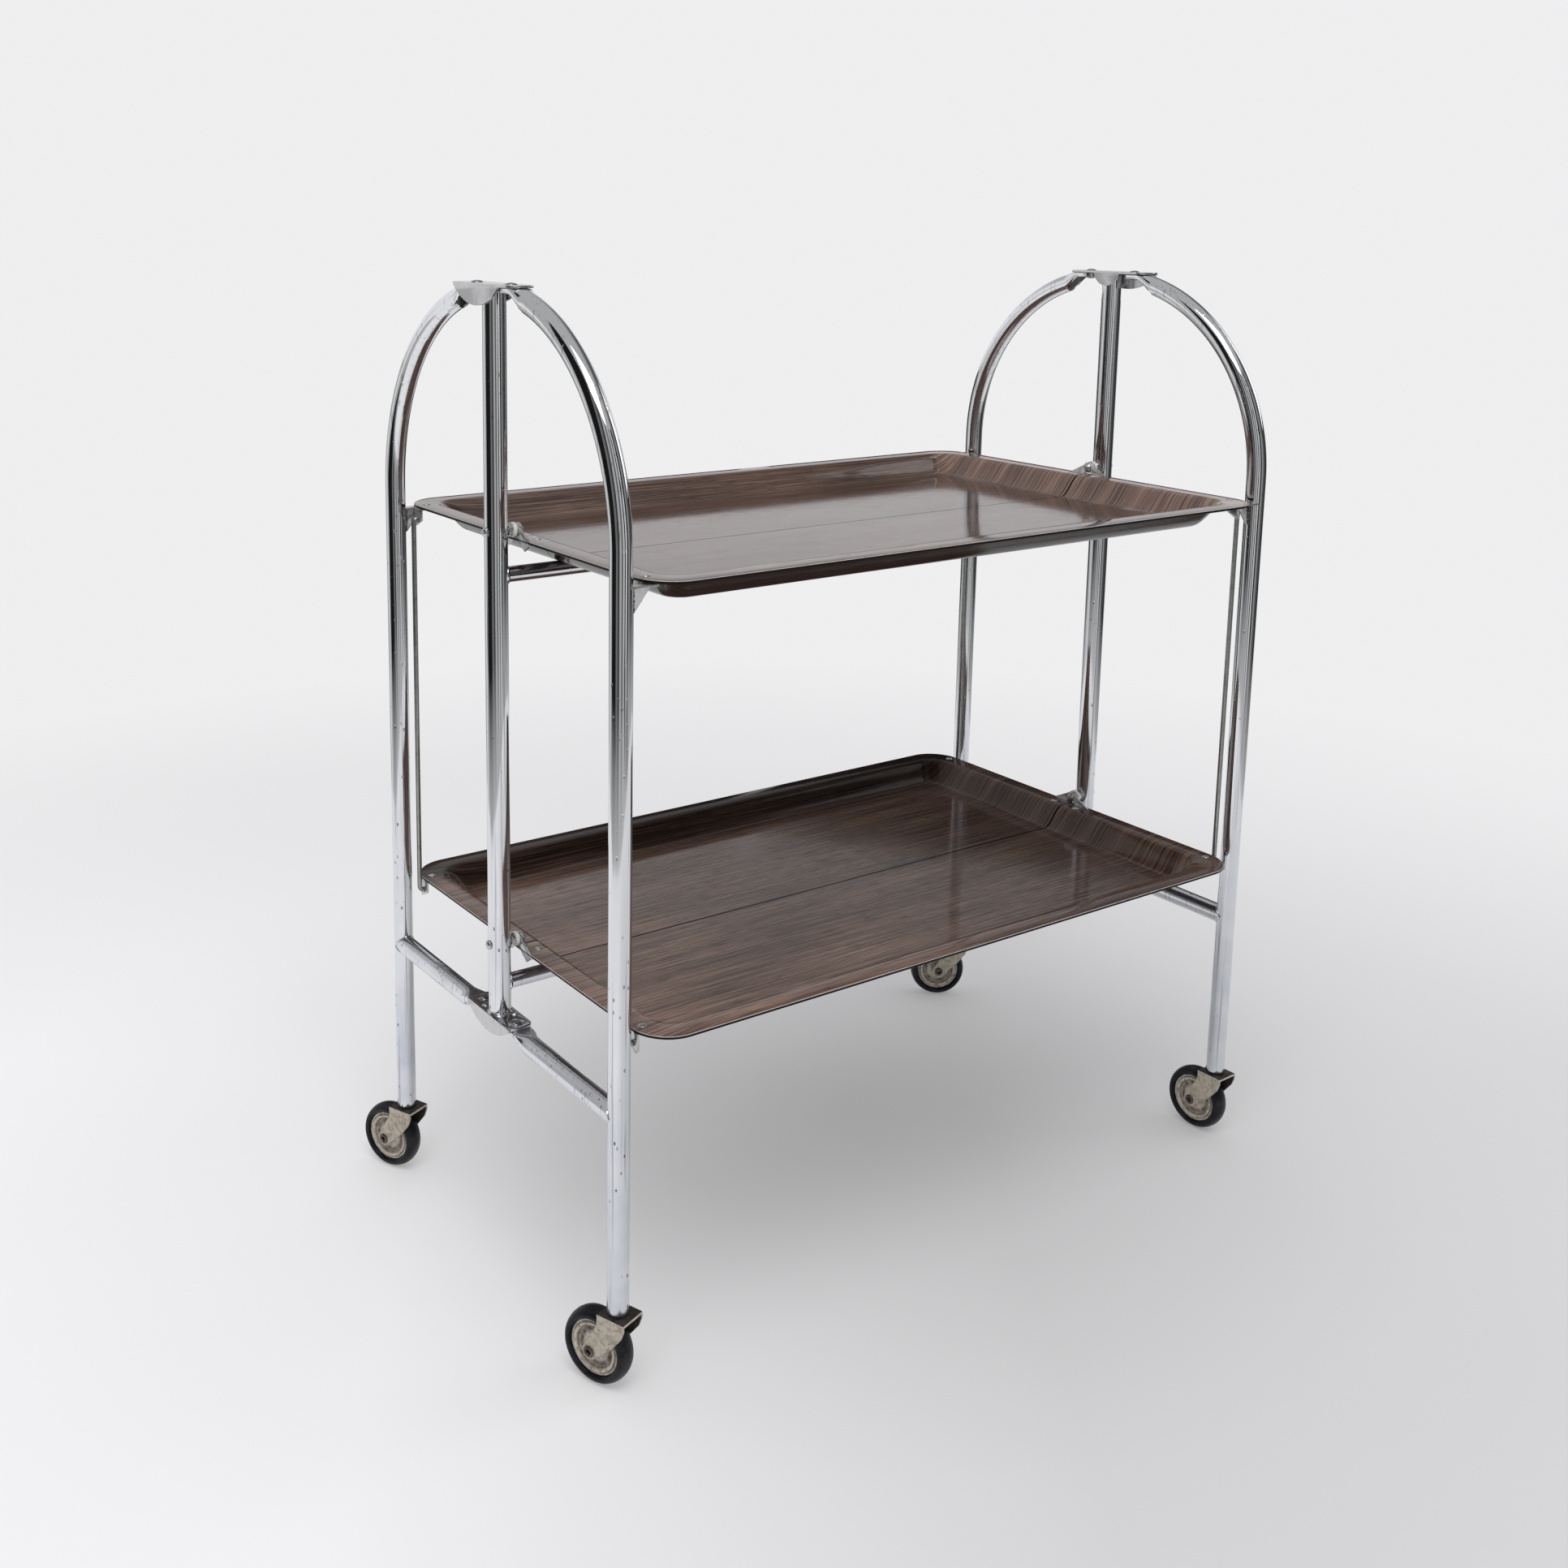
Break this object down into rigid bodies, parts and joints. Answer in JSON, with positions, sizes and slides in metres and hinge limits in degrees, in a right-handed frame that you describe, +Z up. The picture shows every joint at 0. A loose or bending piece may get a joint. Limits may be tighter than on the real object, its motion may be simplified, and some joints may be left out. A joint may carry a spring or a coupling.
{
  "type": "folding tea trolley",
  "caption": "Folding serving trolley: chromed hoop ends on castors carry upper and lower wood-grain trays, each split along its middle to fold up on hinge bolts.",
  "frame": {"origin": "on the floor, under the crossing of the tray seams' line and the middle between the two posts", "axes": "+X along the trays, towards the right-hand post; -Y towards the near side; +Z up"},
  "size_m": [0.6855, 0.4068, 0.7776],
  "materials": {
    "chrome_tube": "bright chrome plate, lightly pitted near the floor",
    "plated_steel": "worn bright plating on pressed steel",
    "fork_metal": "dull warm grey plating, grimy",
    "disc_metal": "dull pale plating, grimy in the hollows",
    "tyre_rubber": "matt black rubber",
    "bush_plastic": "dark moulded bush",
    "washer_plastic": "white nylon",
    "tray_laminate": "glossy reddish-brown wood-grain laminate with a black edge"
  },
  "bodies": {
    "posts": {"post_left": "chrome_tube", "post_right": "chrome_tube", "upper_stretcher": "chrome_tube", "lower_stretcher": "chrome_tube", "top_bracket_left": "plated_steel", "top_bracket_right": "plated_steel", "foot_bracket_left": "plated_steel", "foot_bracket_right": "plated_steel", "frame_rivets": "plated_steel", "tray_hinge_bolts": "plated_steel", "tray_hinge_washers": "washer_plastic"},
    "half_hoop_near_left": {"leg_arch_near_left": "chrome_tube", "foot_strut_near_left": "chrome_tube", "tray_gusset_near_left": "plated_steel", "castor_bush_near_left": "bush_plastic"},
    "castor_near_left": {"castor_fork_near_left": "fork_metal", "castor_axle_near_left": "fork_metal"},
    "wheel_near_left": {"wheel_disc_near_left": "disc_metal", "tyre_near_left": "tyre_rubber"},
    "rod_near_left": {"link_rod_near_left": "chrome_tube"},
    "half_hoop_near_right": {"leg_arch_near_right": "chrome_tube", "foot_strut_near_right": "chrome_tube", "tray_gusset_near_right": "plated_steel", "castor_bush_near_right": "bush_plastic"},
    "castor_near_right": {"castor_fork_near_right": "fork_metal", "castor_axle_near_right": "fork_metal"},
    "wheel_near_right": {"wheel_disc_near_right": "disc_metal", "tyre_near_right": "tyre_rubber"},
    "rod_near_right": {"link_rod_near_right": "chrome_tube"},
    "half_hoop_far_left": {"leg_arch_far_left": "chrome_tube", "foot_strut_far_left": "chrome_tube", "tray_gusset_far_left": "plated_steel", "castor_bush_far_left": "bush_plastic"},
    "castor_far_left": {"castor_fork_far_left": "fork_metal", "castor_axle_far_left": "fork_metal"},
    "wheel_far_left": {"wheel_disc_far_left": "disc_metal", "tyre_far_left": "tyre_rubber"},
    "rod_far_left": {"link_rod_far_left": "chrome_tube"},
    "half_hoop_far_right": {"leg_arch_far_right": "chrome_tube", "foot_strut_far_right": "chrome_tube", "tray_gusset_far_right": "plated_steel", "castor_bush_far_right": "bush_plastic"},
    "castor_far_right": {"castor_fork_far_right": "fork_metal", "castor_axle_far_right": "fork_metal"},
    "wheel_far_right": {"wheel_disc_far_right": "disc_metal", "tyre_far_right": "tyre_rubber"},
    "rod_far_right": {"link_rod_far_right": "chrome_tube"},
    "upper_half_near": {"upper_tray_near": "tray_laminate", "upper_fittings_near": "plated_steel", "upper_rivets_near": "plated_steel"},
    "lower_half_near": {"lower_tray_near": "tray_laminate", "lower_fittings_near": "plated_steel", "lower_rivets_near": "plated_steel"},
    "upper_half_far": {"upper_tray_far": "tray_laminate", "upper_fittings_far": "plated_steel", "upper_rivets_far": "plated_steel"},
    "lower_half_far": {"lower_tray_far": "tray_laminate", "lower_fittings_far": "plated_steel", "lower_rivets_far": "plated_steel"}
  },
  "joints": [
    {"name": "hoop_swing_near_left", "type": "hinge", "parent": "posts", "child": "half_hoop_near_left", "pos_m": [-0.322, -0.0256, 0.5], "axis": [0, 0, 1], "range_deg": [0, 78]},
    {"name": "castor_swivel_near_left", "type": "hinge", "parent": "half_hoop_near_left", "child": "castor_near_left", "pos_m": [-0.322, -0.1715, 0.06], "axis": [0, 0, 1], "continuous": true},
    {"name": "wheel_spin_near_left", "type": "hinge", "parent": "castor_near_left", "child": "wheel_near_left", "pos_m": [-0.32781, -0.15552, 0.028], "axis": [-0.9397, -0.342, 0], "continuous": true},
    {"name": "hoop_swing_near_right", "type": "hinge", "parent": "posts", "child": "half_hoop_near_right", "pos_m": [0.322, -0.0256, 0.5], "axis": [0, 0, -1], "range_deg": [0, 78]},
    {"name": "castor_swivel_near_right", "type": "hinge", "parent": "half_hoop_near_right", "child": "castor_near_right", "pos_m": [0.322, -0.1715, 0.06], "axis": [0, 0, 1], "continuous": true},
    {"name": "wheel_spin_near_right", "type": "hinge", "parent": "castor_near_right", "child": "wheel_near_right", "pos_m": [0.32141, -0.15451, 0.028], "axis": [-0.9994, -0.0349, 0], "continuous": true},
    {"name": "hoop_swing_far_left", "type": "hinge", "parent": "posts", "child": "half_hoop_far_left", "pos_m": [-0.322, 0.0256, 0.5], "axis": [0, 0, -1], "range_deg": [0, 78]},
    {"name": "castor_swivel_far_left", "type": "hinge", "parent": "half_hoop_far_left", "child": "castor_far_left", "pos_m": [-0.322, 0.1715, 0.06], "axis": [0, 0, 1], "continuous": true},
    {"name": "wheel_spin_far_left", "type": "hinge", "parent": "castor_far_left", "child": "wheel_far_left", "pos_m": [-0.32864, 0.18715, 0.028], "axis": [-0.9205, -0.3907, 0], "continuous": true},
    {"name": "hoop_swing_far_right", "type": "hinge", "parent": "posts", "child": "half_hoop_far_right", "pos_m": [0.322, 0.0256, 0.5], "axis": [0, 0, 1], "range_deg": [0, 78]},
    {"name": "castor_swivel_far_right", "type": "hinge", "parent": "half_hoop_far_right", "child": "castor_far_right", "pos_m": [0.322, 0.1715, 0.06], "axis": [0, 0, 1], "continuous": true},
    {"name": "wheel_spin_far_right", "type": "hinge", "parent": "castor_far_right", "child": "wheel_far_right", "pos_m": [0.30774, 0.18076, 0.028], "axis": [-0.5446, -0.8387, 0], "continuous": true},
    {"name": "upper_fold_near", "type": "hinge", "parent": "posts", "child": "upper_half_near", "pos_m": [0, 0, 0.595], "axis": [-1, 0, 0], "range_deg": [0, 88]},
    {"name": "lower_fold_near", "type": "hinge", "parent": "posts", "child": "lower_half_near", "pos_m": [0, 0, 0.274], "axis": [-1, 0, 0], "range_deg": [0, 88]},
    {"name": "rod_tilt_near_left", "type": "hinge", "parent": "upper_half_near", "child": "rod_near_left", "pos_m": [-0.3097, -0.164, 0.578], "axis": [-1, 0, 0], "range_deg": [-88, 0]},
    {"name": "rod_tilt_near_right", "type": "hinge", "parent": "upper_half_near", "child": "rod_near_right", "pos_m": [0.3097, -0.164, 0.578], "axis": [-1, 0, 0], "range_deg": [-88, 0]},
    {"name": "upper_fold_far", "type": "hinge", "parent": "posts", "child": "upper_half_far", "pos_m": [0, 0, 0.595], "axis": [1, 0, 0], "range_deg": [0, 88]},
    {"name": "lower_fold_far", "type": "hinge", "parent": "posts", "child": "lower_half_far", "pos_m": [0, 0, 0.274], "axis": [1, 0, 0], "range_deg": [0, 88]},
    {"name": "rod_tilt_far_left", "type": "hinge", "parent": "upper_half_far", "child": "rod_far_left", "pos_m": [-0.3097, 0.164, 0.578], "axis": [1, 0, 0], "range_deg": [-88, 0]},
    {"name": "rod_tilt_far_right", "type": "hinge", "parent": "upper_half_far", "child": "rod_far_right", "pos_m": [0.3097, 0.164, 0.578], "axis": [1, 0, 0], "range_deg": [-88, 0]}
  ],
  "couplings": [
    {"joint": "lower_fold_near", "follows": "upper_fold_near", "ratio": 1},
    {"joint": "rod_tilt_near_left", "follows": "upper_fold_near", "ratio": -1},
    {"joint": "hoop_swing_near_left", "follows": "upper_fold_near", "ratio": 0.045},
    {"joint": "rod_tilt_near_right", "follows": "upper_fold_near", "ratio": -1},
    {"joint": "hoop_swing_near_right", "follows": "upper_fold_near", "ratio": 0.045},
    {"joint": "lower_fold_far", "follows": "upper_fold_far", "ratio": 1},
    {"joint": "rod_tilt_far_left", "follows": "upper_fold_far", "ratio": -1},
    {"joint": "hoop_swing_far_left", "follows": "upper_fold_far", "ratio": 0.045},
    {"joint": "rod_tilt_far_right", "follows": "upper_fold_far", "ratio": -1},
    {"joint": "hoop_swing_far_right", "follows": "upper_fold_far", "ratio": 0.045}
  ]
}
